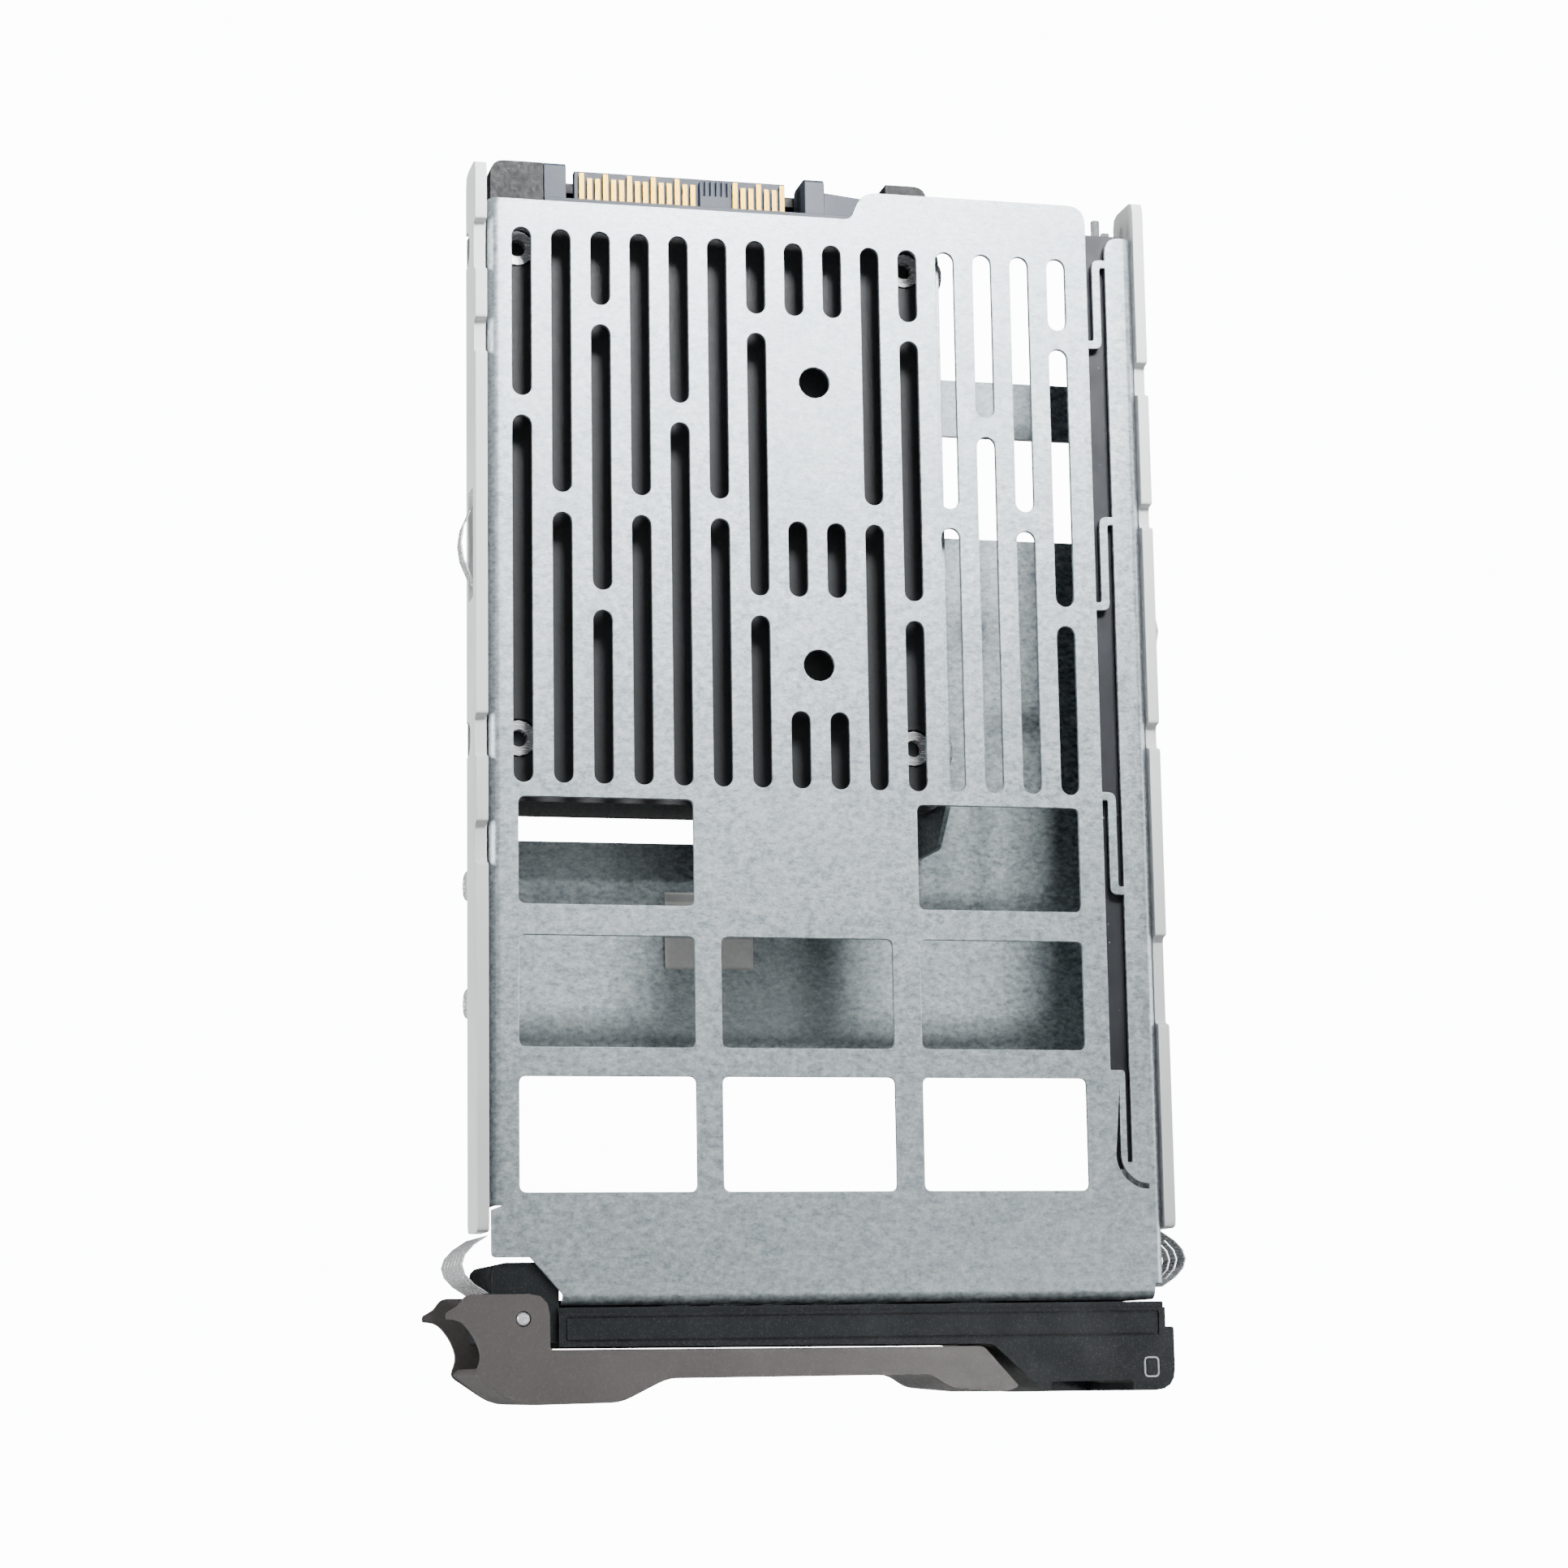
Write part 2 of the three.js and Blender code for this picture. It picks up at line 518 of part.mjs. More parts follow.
// ---------------------------------------------------------------- drive electronics
add('circuit_board', block(3.4, 68.8, BOARD_Y, BOARD_Y + BOARD_T, 98, PLUG.front - GAP), boardGreen);
const chip = (name, x, z, w, h, t) => {
  const section = rect(x, z, x + w, z + h, 0.4);
  add(name, plateXZ(section, PART_Y, PART_Y + t, 1), chipBlack);
};
[[20, 110], [36, 110], [20, 130], [36, 130]].forEach(([x, z], i) => {
  chip(`flash_chip_${i + 1}`, x, z, 14, 18, 1.2);
});
chip('controller_chip', 20, 151, 14, 14, 1.2);
chip('memory_chip', 37, 152, 12, 10, 1.2);
add('thermal_pad', block(20, 50, 13.9, 15.5, 110, 164), padGrey);
[0, 1, 2].forEach((i) => {
  const can = turned([[0, 0], [2.6, 0], [2.9, 0.3], [2.9, 21.7], [2.6, 22], [0, 22]], 12);
  add(`backup_capacitor_${i + 1}`, can.translate(63.5, 15.6, 104 + 24 * i), bezelBlack);
});

// ---------------------------------------------------------------- connector
function connectorHousing() {
  const { left, right, front, shelf, rear } = PLUG;
  const postShape = outline([[6.6, shelf - 1], [13.9, shelf - 1], [13.9, rear, 1.2], [6.6, rear, 1.2]]);
  const post = (x0, x1) => plateYZ(postShape,
    x0, x1);
  return cut(
    join(
      block(left, right, 6.2, 14.1, front, shelf),
      block(TONGUE.left, TONGUE.right, TONGUE.y, TONGUE.y + TONGUE.t, shelf - 0.5, TONGUE.rear),
      post(left, left + 3.5), post(51.4, 54.6),
      plateXZ(outline([[54, shelf - 1], [63.8, shelf - 1], [63.8, 187.6, 1], [54, 188.6]]), 8, 13.2),
      plateXZ(rect(34.9, shelf - 0.5, 39.8, 189.5, 0.5), TONGUE.y - 0.9, TONGUE.y + 0.5),
    ),
    ...[0, 1, 2, 3, 4].map((i) => block(35.4 + i * 0.9, 35.75 + i * 0.9, TONGUE.y - 2, TONGUE.y - 0.3, 187, 191)),
  );
}
add('connector_housing', connectorHousing(), slate);

// Contacts side by side, held together by a thin bar at their roots.
function contacts(start, count, isLong) {
  const back = TONGUE.y - GAP;
  const front = back - CONTACT_T;
  const end = start + (count - 1) * CONTACT_PITCH;
  const half = CONTACT_W / 2;
  const bar = block(start - half, end + half, front, back, PLUG.shelf + 0.1, PLUG.shelf + 0.5);
  const blades = Array.from({ length: count }, (_, i) => {
    const x = start + i * CONTACT_PITCH;
    const reach = isLong(i) ? 189.6 : 188.8;
    return block(x - half, x + half, front, back, PLUG.shelf + 0.3, reach);
  });
  return join(bar, ...blades);
}
add('power_contacts', contacts(POWER_X, POWER_COUNT, (i) => i % 3 === 0), gold);
add('signal_contacts', contacts(SIGNAL_X, SIGNAL_COUNT, (i) => i % 3 === 0), gold);

// ---------------------------------------------------------------- bezel
const GROOVE = 0.35;
const SYMBOL = [99.4, 2.6, 101.9, 5.8];
const BEZEL = { left: 9.9, right: 104.3, rear: TRAY_FRONT - GAP, low: 0.7, deck: 8.3 };
const PANEL_REAR = 13.1;
function bezelShell() {
  const { left, right, rear, low, deck } = BEZEL;
  const body = plateXZ(outline([
    [left, rear], [right - 1.3, rear], [right - 1.3, 10.2], [right, 10.2, 0.4], [right, low, 3.2],
    [83.6, low, 2], [75.6, deck - 0.3, 1], [left, deck],
  ]), 0, FRONT_D, 4);
  const deckCavity = block(12, 78.5, WALL, FRONT_D - WALL, deck + 1.4, rear + 1);
  const endCavity = plateXZ(outline([[78.4, rear + 1], [78.4, 7], [81.6, RECESS + WALL], [98.8, RECESS + WALL],
    [98.8, 2.4], [102.4, 2.4, 1.2], [102.4, rear + 1]]), WALL, FRONT_D - WALL);
  const recess = plateXZ(outline([[84.6, low - 1], [97.6, low - 1], [97.6, RECESS, 0.5], [84.6, RECESS, 0.5]]),
    -1, FRONT_D - 5);
  return cut(body, deckCavity, endCavity, recess, ...sideGrooves());
}
// Grooves in the side: the gap beside the tray, a frame round the long panel and a small drive symbol.
function sideGrooves() {
  const frameLine = (x0, z0, x1, z1, line, r) => {
    const shape = rect(x0, z0, x1, z1, r);
    shape.holes.push(rect(x0 + line, z0 + line, x1 - line, z1 - line, r * 0.6));
    return plateXZ(shape, -1, GROOVE, 2);
  };
  const shadowGap = block(BEZEL.left - 1, BEZEL.right + 1, -1, 1, PANEL_REAR, BEZEL.rear + 1);
  return [shadowGap, frameLine(10.7, 8.9, 102.0, 12.7, 0.4, 0.5), frameLine(...SYMBOL, 0.35, 0.8)];
}
function hingeBlock() {
  const shape = outline([[0.3, 8.9, 0.8], [10.2, 8.9], [10.2, 20.6, 1.5], [0.3, 20.6, 2]]);
  const cavity = block(1.4, 8.4, 8, 18, 9.6, 22);
  return cut(plateXZ(shape, EAR_T + 0.4, FRONT_D - EAR_T - 0.4), cavity);
}
function bezel() {
  const bosses = BEZEL_SCREW_X.map((x) => plateXY(ring(x, MID_Y, 2.8), BEZEL.deck + 0.5, TRAY_FRONT - GAP, 4));
  const vents = [];
  for (let row = -1; row <= 1; row += 1) {
    for (let x = 29; x <= 61; x += 5.4) vents.push(hexagon(x + (row % 2) * 2.7, MID_Y + row * 5.2, 2.3));
  }
  const guide = rect(BUTTON.left - GAP, BUTTON.y0 - GAP, BUTTON.right + GAP, BUTTON.y1 + GAP, 1);
  return cut(
    join(bezelShell(), hingeBlock(), ...bosses),
    plateXY(vents, 7, 11),
    plateXY(BEZEL_SCREW_X.map((x) => ring(x, MID_Y, 1.4)), 10, TRAY_FRONT + 1),
    plateXY(guide, -1, 4.5),
    plateXY(LENSES.map(([x, y]) => ring(x, y, 1.2)), -1, 4),
    block(74.5, 80, 8.6, 16.8, 6.3, 8.1),
    plateXZ(ring(PIVOT.x, PIVOT.z, PIVOT.r + 0.15), 0, FRONT_D, 5),
  );
}
const LENSES = [[99.6, 8.5], [99.6, 13.5]];
add('bezel', bezel(), bezelBlack);
['activity_lens', 'status_lens'].forEach((name, i) => {
  const lens = turned([[0, 0], [0.9, 0], [0.9, 3], [0, 3]], 10);
  add(name, lens.translate(LENSES[i][0], LENSES[i][1], 0.9), clear);
});
BEZEL_SCREW_X.forEach((x, i) => {
  const geometry = screw(2.3, 1.2, 1.1, 4.4).translate(x, MID_Y, TRAY_FRONT + SHEET + GAP);
  add(`bezel_screw_${i + 1}`, geometry, stainless);
});

// ---------------------------------------------------------------- handle
function handleSide() {
  return outline([
    [-3.7, EAR_TOP, 0.8], [-4.9, 14.4, 0.3], [-6.6, 13.4, 0.3], [-6.6, 12.5, 0.3], [-4.4, 12.3, 1.2],
    [-2.4, 9.8, 1.2], [-1.4, 7.1, 1.2], [-2.4, 4.4, 0.9], [4, 0, 2.4], [19, 0.2, 1.6], [26, 3.6, 1.6],
    [66, 3.6, 1.2], [69, 1.6, 1.2], [77.4, 0.8, 1], [79.6, 1.6, 0.5], [74.2, 7.65, 0.8], [8.6, 7.95, 0.5],
    [8.5, EAR_TOP, 3],
  ]);
}
// The front face of the handle, following the lower edge of its sides.
function handleFace() {
  return outline([
    [-2.2, 4.5, 0.6], [4, 0, 2.4], [19, 0.2, 1.6], [26, 3.6, 1.6], [66, 3.6, 1.2], [69, 1.6, 1.2],
    [77.4, 0.8, 1], [79.4, 1.6, 0.4], [78.4, 2.7, 0.4], [69.8, 3.4, 1], [66.8, 5.1, 1], [25.6, 5.1, 1.4],
    [18.6, 1.9, 1.4], [4.6, 1.7, 1.8], [-1.1, 5.6, 0.5],
  ]);
}
function handle() {
  const side = handleSide();
  const honeycomb = [];
  for (let row = -2; row <= 2; row += 1) {
    for (let x = 30; x <= 60; x += 5.4) {
      honeycomb.push(hexagon(x + (row % 2 ? 2.7 : 0), MID_Y + row * 4.2, 2.4));
    }
  }
  return cut(
    join(
      plateXZ(side, 0, EAR_T),
      plateXZ(side, FRONT_D - EAR_T, FRONT_D),
      plateXZ(handleFace(), EAR_T - 0.4, FRONT_D - EAR_T + 0.4),
    ),
    plateXY(honeycomb, 2.5, 6),
    plateXZ(ring(PIVOT.x, PIVOT.z, PIVOT.r + 0.15), -1, FRONT_D + 1, 5),
  );
}
add('handle', handle(), bronze);
const pin = turned([[0, 0], [PIVOT.r - 0.2, 0], [PIVOT.r, 0.2], [PIVOT.r, FRONT_D - 0.2],
  [PIVOT.r - 0.2, FRONT_D], [0, FRONT_D]], 16);
add('pivot_pin', placed(pin, facing.plusY, PIVOT.x, 0, PIVOT.z), stainless);
add('handle_spring', placed(coil(1.9, 0.25, 7, 6), facing.plusY, PIVOT.x, 9.5, PIVOT.z), stainless);

// ---------------------------------------------------------------- release button and latch
function releaseButton() {
  const { left, right, y0, y1, low, high } = BUTTON;
  return join(
    plateXY(rect(left, y0, right, y1, 0.9), low, high),
    plateXY(ring(BUTTON_X, MID_Y, 1.2), high - 0.3, high + 4.2),
  );
}
add('release_button', releaseButton(), buttonSlate);
const springLength = TRAY_FRONT - 2 * GAP - BUTTON.high - 0.6;
add('button_spring',
  coil(2.0, 0.25, springLength, 5).translate(BUTTON_X, MID_Y, BUTTON.high + GAP + 0.3), stainless);
function latch() {
  const [low, high] = [6.7, 7.7];
  const plate = rect(79.3, 8.5, 100, 16.9, 1);
  plate.holes.push(rect(BUTTON_X - 3.8, MID_Y - 2.7, BUTTON_X + 3.2, MID_Y + 2.7, 1));
  return join(plateXY(plate, low, high), plateXY(rect(76.1, 9.4, 80, 16, 0.6), low, high));
}
add('latch', latch(), bezelBlack);

// ---------------------------------------------------------------- origin
// The origin lies under the middle of the whole object, level with its lowest point.
const extent = new THREE.Box3().setFromObject(model);
const middle = extent.getCenter(new THREE.Vector3());
model.position.set(-middle.x, -middle.y, -extent.min.z);
model.updateMatrixWorld(true);

export default model;
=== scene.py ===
# Looks of a solid state drive in its hot-swap carrier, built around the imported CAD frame.
# Metres, with the CAD's axes: X across, Y from the slotted base to the open side, Z to the connector.
import json
import math

import bmesh
import bpy
from mathutils import Euler, Matrix, Vector

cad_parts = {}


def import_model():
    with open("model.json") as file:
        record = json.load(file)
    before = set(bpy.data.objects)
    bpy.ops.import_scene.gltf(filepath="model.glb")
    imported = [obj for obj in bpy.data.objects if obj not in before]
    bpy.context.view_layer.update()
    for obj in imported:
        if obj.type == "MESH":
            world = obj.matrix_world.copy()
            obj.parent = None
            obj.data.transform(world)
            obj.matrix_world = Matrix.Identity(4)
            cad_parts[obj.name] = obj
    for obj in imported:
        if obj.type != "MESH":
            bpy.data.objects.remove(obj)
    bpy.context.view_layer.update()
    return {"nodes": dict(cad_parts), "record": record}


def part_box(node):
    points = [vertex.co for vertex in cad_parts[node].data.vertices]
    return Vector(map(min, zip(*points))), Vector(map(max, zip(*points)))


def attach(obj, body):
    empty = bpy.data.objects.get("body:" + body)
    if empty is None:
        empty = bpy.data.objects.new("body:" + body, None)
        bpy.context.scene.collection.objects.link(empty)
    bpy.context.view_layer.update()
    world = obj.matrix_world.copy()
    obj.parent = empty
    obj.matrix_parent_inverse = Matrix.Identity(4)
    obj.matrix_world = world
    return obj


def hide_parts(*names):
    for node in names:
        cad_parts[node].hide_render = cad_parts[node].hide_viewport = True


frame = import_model()
MM = 0.001


# ---------------------------------------------------------------- node helpers
class Shader:
    """A short way to write a node material around one Principled shader."""

    def __init__(self, name, color, roughness, metallic=0.0, **sockets):
        self.material = bpy.data.materials.new(name)
        self.material.use_nodes = True
        self.tree = self.material.node_tree
        self.shader = self.tree.nodes["Principled BSDF"]
        self.set("Base Color", (*color, 1.0))
        self.set("Roughness", roughness)
        self.set("Metallic", metallic)
        for socket, value in sockets.items():
            self.set(socket.replace("_", " "), value)
        self.coordinates = self.add("ShaderNodeTexCoord").outputs["Object"]

    def set(self, socket, value):
        self.shader.inputs[socket].default_value = value

    def add(self, kind, **values):
        node = self.tree.nodes.new(kind)
        for key, value in values.items():
            if key in node.inputs:
                node.inputs[key].default_value = value
            else:
                setattr(node, key, value)
        return node

    def link(self, source, target):
        self.tree.links.new(source, target)

    def stretched(self, scale):
        """Object coordinates scaled by three numbers."""
        mapping = self.add("ShaderNodeMapping")
        mapping.inputs["Scale"].default_value = scale
        self.link(self.coordinates, mapping.inputs["Vector"])
        return mapping.outputs["Vector"]

    def noise(self, scale, detail=4.0, rough=0.55, stretch=None):
        node = self.add("ShaderNodeTexNoise", Scale=scale, Detail=detail, Roughness=rough)
        self.link(self.stretched(stretch) if stretch else self.coordinates, node.inputs["Vector"])
        return node.outputs["Fac"]

    def cells(self, scale):
        node = self.add("ShaderNodeTexVoronoi", Scale=scale)
        self.link(self.coordinates, node.inputs["Vector"])
        return node

    def ramp(self, source, stops):
        """Colours by position; each stop is (position, (r, g, b))."""
        node = self.add("ShaderNodeValToRGB")
        elements = node.color_ramp.elements
        while len(elements) < len(stops):
            elements.new(0.5)
        for element, (position, color) in zip(elements, stops):
            element.position = position
            element.color = (*color, 1.0)
        self.link(source, node.inputs["Fac"])
        return node.outputs["Color"]

    def scaled(self, source, low, high, start=0.0, end=1.0):
        node = self.add("ShaderNodeMapRange")
        for key, value in (("From Min", start), ("From Max", end), ("To Min", low), ("To Max", high)):
            node.inputs[key].default_value = value
        self.link(source, node.inputs["Value"])
        return node.outputs["Result"]

    def mixed(self, factor, a, b, mode="MIX"):
        node = self.add("ShaderNodeMix", data_type="RGBA", blend_type=mode)
        for key, value in ((0, factor), (6, a), (7, b)):
            if isinstance(value, bpy.types.NodeSocket):
                self.link(value, node.inputs[key])
            else:
                node.inputs[key].default_value = value if key == 0 else (*value, 1.0)
        return node.outputs[2]

    def color(self, source):
        self.link(source, self.shader.inputs["Base Color"])

    def roughness(self, source):
        self.link(source, self.shader.inputs["Roughness"])

    def bump(self, source, strength, distance):
        node = self.add("ShaderNodeBump", Strength=strength, Distance=distance)
        self.link(source, node.inputs["Height"])
        self.link(node.outputs["Normal"], self.shader.inputs["Normal"])


# ---------------------------------------------------------------- materials
def galvanised_steel():
    """Zinc-coated sheet: a fine mottle of bright and dull grains over a slow cloudiness."""
    s = Shader("galvanised_steel", (0.6, 0.64, 0.66), 0.45, 0.85)
    grain = s.noise(2400, 3, 0.7)
    wrinkle = s.noise(900, 6, 0.75, stretch=(1, 1, 1.6))
    cloud = s.noise(45, 3, 0.6)
    base = s.ramp(wrinkle, [(0.34, (0.24, 0.285, 0.305)), (0.5, (0.41, 0.46, 0.485)),
                            (0.66, (0.6, 0.645, 0.66))])
    fine = s.ramp(grain, [(0.35, (0.82, 0.83, 0.84)), (0.65, (1.0, 1.0, 1.0))])
    slow = s.ramp(cloud, [(0.3, (0.9, 0.91, 0.92)), (0.7, (1.0, 1.0, 1.0))])
    s.color(s.mixed(1.0, s.mixed(1.0, base, fine, "MULTIPLY"), slow, "MULTIPLY"))
    s.roughness(s.scaled(wrinkle, 0.36, 0.6, 0.3, 0.7))
    s.bump(wrinkle, 0.4, 0.0001)
    return s.material


def stainless_steel():
    s = Shader("stainless_steel", (0.78, 0.79, 0.81), 0.25, 0.45)
    brushed = s.noise(700, 4, 0.6, stretch=(1, 1, 6))
    s.color(s.ramp(brushed, [(0.3, (0.74, 0.75, 0.77)), (0.7, (0.9, 0.91, 0.92))]))
    s.roughness(s.scaled(brushed, 0.16, 0.34, 0.3, 0.7))
    s.bump(brushed, 0.12, 0.00003)
    return s.material


def moulded(name, color, roughness, contrast=0.08, texture=0.00004, **sockets):
    """Moulded plastic or paint: an even colour with a slow drift, a fine texture and handling marks."""
    s = Shader(name, color, roughness, **sockets)
    drift = s.noise(60, 4, 0.6)
    fine = s.noise(3200, 2, 0.5)
    darker = tuple(c * (1 - contrast) for c in color)
    lighter = tuple(min(1.0, c * (1 + contrast)) for c in color)
    s.color(s.ramp(drift, [(0.3, darker), (0.7, lighter)]))
    s.roughness(s.scaled(drift, roughness * 0.85, min(1.0, roughness * 1.15), 0.3, 0.7))
    s.bump(fine, 0.35, texture)
    return s.material


def bezel_plastic():
    """Black plastic full of fine metal flecks."""
    s = Shader("bezel_plastic", (0.02, 0.025, 0.03), 0.42, 0.0, Specular_IOR_Level=0.25)
    flecks = s.cells(6000)
    fleck = s.scaled(flecks.outputs["Color"], 0.0, 0.8, 0.7, 1.0)
    dark = s.ramp(s.noise(80, 3, 0.6), [(0.3, (0.008, 0.011, 0.013)), (0.7, (0.016, 0.02, 0.024))])
    s.color(s.mixed(fleck, dark, (0.05, 0.06, 0.066)))
    s.roughness(s.scaled(s.noise(140, 4, 0.6), 0.34, 0.5, 0.3, 0.7))
    s.bump(s.noise(2600, 3, 0.6), 0.4, 0.00005)
    return s.material


def handle_finish():
    """Bronze-grey metallic paint."""
    s = Shader("handle_finish", (0.09, 0.085, 0.083), 0.42, 0.35, Coat_Weight=0.1, Coat_Roughness=0.25)
    flake = s.cells(5200)
    spark = s.scaled(flake.outputs["Color"], 0.0, 0.5, 0.6, 1.0)
    body = s.ramp(s.noise(70, 3, 0.5), [(0.3, (0.105, 0.097, 0.095)), (0.7, (0.13, 0.122, 0.12))])
    s.color(s.mixed(spark, body, (0.17, 0.16, 0.156)))
    s.roughness(s.scaled(s.noise(900, 3, 0.6), 0.32, 0.46, 0.3, 0.7))
    s.bump(s.noise(3000, 2, 0.5), 0.2, 0.00003)
    return s.material


def charcoal_casting():
    """Powder-coated casting with a fine orange-peel texture, and painted shade that darkens its connector
    end.
    """
    shade_starts, shade_is_full = 0.177, 0.182      # metres up the part where the painted shade at the connector end begins and where it is full
    s = Shader("charcoal_casting", (0.03, 0.031, 0.034), 0.5, 0.0, Specular_IOR_Level=0.2)
    peel = s.noise(1600, 3, 0.5)
    coat = s.ramp(s.noise(50, 4, 0.6), [(0.3, (0.038, 0.04, 0.042)), (0.7, (0.048, 0.051, 0.054))])
    height = s.add("ShaderNodeSeparateXYZ")
    s.link(s.coordinates, height.inputs[0])
    # painted shade: towards the connector end the colour fades to near black, in place of the shade that
    # the light there doesn't give
    painted_shade_end = s.scaled(height.outputs["Z"], 0.0, 0.8, shade_starts, shade_is_full)
    s.color(s.mixed(painted_shade_end, coat, (0.006, 0.0065, 0.008)))
    s.roughness(s.scaled(peel, 0.42, 0.6, 0.3, 0.7))
    s.bump(peel, 0.5, 0.00008)
    return s.material


def black_film():
    """Matt black film with scattered pale dust."""
    s = Shader("black_film", (0.02, 0.022, 0.028), 0.45, 0.0, Specular_IOR_Level=0.3)
    specks = s.cells(520)
    dust = s.scaled(specks.outputs["Distance"], 1.0, 0.0, 0.06, 0.14)
    patch = s.scaled(s.noise(160, 4, 0.7), 0.0, 0.8, 0.5, 0.68)
    amount = s.add("ShaderNodeMath", operation="MULTIPLY")
    s.link(dust, amount.inputs[0])
    s.link(patch, amount.inputs[1])
    dark = s.ramp(s.noise(90, 3, 0.5), [(0.3, (0.017, 0.019, 0.024)), (0.7, (0.035, 0.038, 0.046))])
    s.color(s.mixed(amount.outputs[0], dark, (0.4, 0.42, 0.44)))
    s.roughness(s.scaled(s.noise(300, 4, 0.6), 0.36, 0.6, 0.3, 0.7))
    s.bump(s.noise(240, 3, 0.5), 0.15, 0.0001)
    return s.material


def clear_acrylic():
    s = Shader("clear_acrylic", (0.9, 0.94, 0.96), 0.08, 0.0, Transmission_Weight=0.85, IOR=1.49)
    s.color(s.ramp(s.noise(200, 3, 0.5), [(0.3, (0.86, 0.91, 0.94)), (0.7, (0.95, 0.97, 0.98))]))
    s.roughness(s.scaled(s.noise(600, 3, 0.5), 0.05, 0.16, 0.3, 0.7))
    return s.material


def gold_contact():
    s = Shader("gold_contact", (0.45, 0.24, 0.02), 0.34, 0.6)
    wiped = s.noise(900, 4, 0.6, stretch=(3, 1, 0.5))
    s.color(s.ramp(wiped, [(0.3, (0.24, 0.135, 0.006)), (0.7, (0.36, 0.21, 0.012))]))
    s.roughness(s.scaled(wiped, 0.2, 0.38, 0.3, 0.7))
    s.bump(wiped, 0.15, 0.00003)
    return s.material


def label_paper():
    """A blank white label with paper fibre, a few faint grey ruled bands and no lettering."""
    s = Shader("label_paper", (0.86, 0.86, 0.84), 0.6, 0.0)
    fibre = s.noise(1500, 5, 0.7)
    paper = s.ramp(fibre, [(0.3, (0.8, 0.8, 0.78)), (0.7, (0.9, 0.9, 0.885))])
    bands = s.add("ShaderNodeTexWave", wave_type="BANDS", bands_direction="Z", Scale=55)
    s.link(s.coordinates, bands.inputs["Vector"])
    ruled = s.scaled(bands.outputs["Fac"], 0.0, 0.45, 0.86, 0.94)
    s.color(s.mixed(ruled, paper, (0.25, 0.26, 0.28)))
    s.roughness(s.scaled(fibre, 0.5, 0.72, 0.3, 0.7))
    s.bump(fibre, 0.2, 0.00003)
    return s.material


MATERIALS = {
    "galvanised_steel": galvanised_steel(),
    "stainless_steel": stainless_steel(),
    "rail_plastic": moulded("rail_plastic", (0.74, 0.76, 0.76), 0.52, 0.04),
    "clear_acrylic": clear_acrylic(),
    "black_film": black_film(),
    "label_paper": label_paper(),
    "charcoal_casting": charcoal_casting(),
    "connector_plastic": moulded("connector_plastic", (0.042, 0.052, 0.072), 0.5, 0.12,
                                 Specular_IOR_Level=0.3),
    "gold_contact": gold_contact(),
    "circuit_board": moulded("circuit_board", (0.02, 0.14, 0.08), 0.35, 0.25),
    "chip_package": moulded("chip_package", (0.018, 0.018, 0.02), 0.5, 0.2),
    "thermal_pad": moulded("thermal_pad", (0.36, 0.42, 0.5), 0.85, 0.12),
    "capacitor_sleeve": moulded("capacitor_sleeve", (0.015, 0.015, 0.017), 0.3, 0.2),
    "bezel_plastic": bezel_plastic(),
    "handle_finish": handle_finish(),
    "button_plastic": moulded("button_plastic", (0.06, 0.075, 0.09), 0.42, 0.12),
}
SLOT_OF = {entry["node"]: entry["material_slot"] for entry in frame["record"]["subparts"]}
for node_name, node in frame["nodes"].items():
    node.data.materials.clear()
    node.data.materials.append(MATERIALS[SLOT_OF[node_name]])


# ---------------------------------------------------------------- pieces
BODY_OF = {node: body for body, nodes in frame["record"]["behaviour"]["bodies"].items() for node in nodes}


def added(name, mesh, slot, body):
    """A new object that rides with a body and wears a slot."""
    obj = bpy.data.objects.new(name, mesh)
    bpy.context.scene.collection.objects.link(obj)
    mesh.materials.clear()
    mesh.materials.append(MATERIALS[slot])
    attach(obj, body)
    return obj


def surface(node, mesh):
    """A mesh that stands for a CAD node, with its slot and body."""
    obj = added(f"{node}_surface", mesh, SLOT_OF[node], BODY_OF[node])
    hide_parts(node)
    return obj


THIN = 0.15 * MM           # edges finer than this are rounded without the clamp
SHARP = math.radians(32)   # edges that turn by more than this are rounded
FLAT = math.radians(0.5)   # faces that turn by less than this are merged
SAME_POINT = 1e-6
ON_PLANE = 1e-7


def bevelled(obj, width):
    bevel = obj.modifiers.new("edges", "BEVEL")
    bevel.width = width
    bevel.segments = 2
    bevel.limit_method = "ANGLE"
    bevel.angle_limit = SHARP
    bevel.use_clamp_overlap = width > THIN
    normals = obj.modifiers.new("normals", "WEIGHTED_NORMAL")
    normals.mode = "FACE_AREA"
    normals.weight = 100


# A face full of holes is cut along these lines, in mm, before its triangles are merged: down the
# columns of slots and the middle windows, and across the rows of windows and the vents in the walls.
TRAY_LEFT = -50.4        # the tray's left face, from which its slots are measured
MIDDLE_WINDOWS = -2.4
FIRST_SLOT, SLOT_PITCH, SLOT_COLUMNS = 5, 6.1, 15
ACROSS_X, ACROSS_Z = 0, 2
HOLE_LINES = {
    "tray": {
        ACROSS_X: [*(FIRST_SLOT + SLOT_PITCH * column + TRAY_LEFT for column in range(SLOT_COLUMNS)),
                   MIDDLE_WINDOWS],
        ACROSS_Z: [39.2, 60.3, 81.2, 128, 171],
    },
    "connector_housing": {ACROSS_X: [-30, -20, 0]},
}


def split_at_holes(b, lines):
    """Cuts a mesh by planes across X or Z, and marks the cuts so that merging stops at them."""
    for axis, places in lines.items():
        normal = [int(i == axis) for i in range(3)]
        for place in places:
            point = [place * MM * part for part in normal]
            made = bmesh.ops.bisect_plane(b, geom=[*b.verts, *b.edges, *b.faces], dist=ON_PLANE,
                                          plane_co=point, plane_no=normal)
            for part in made["geom_cut"]:
                if isinstance(part, bmesh.types.BMEdge):
                    part.seam = True


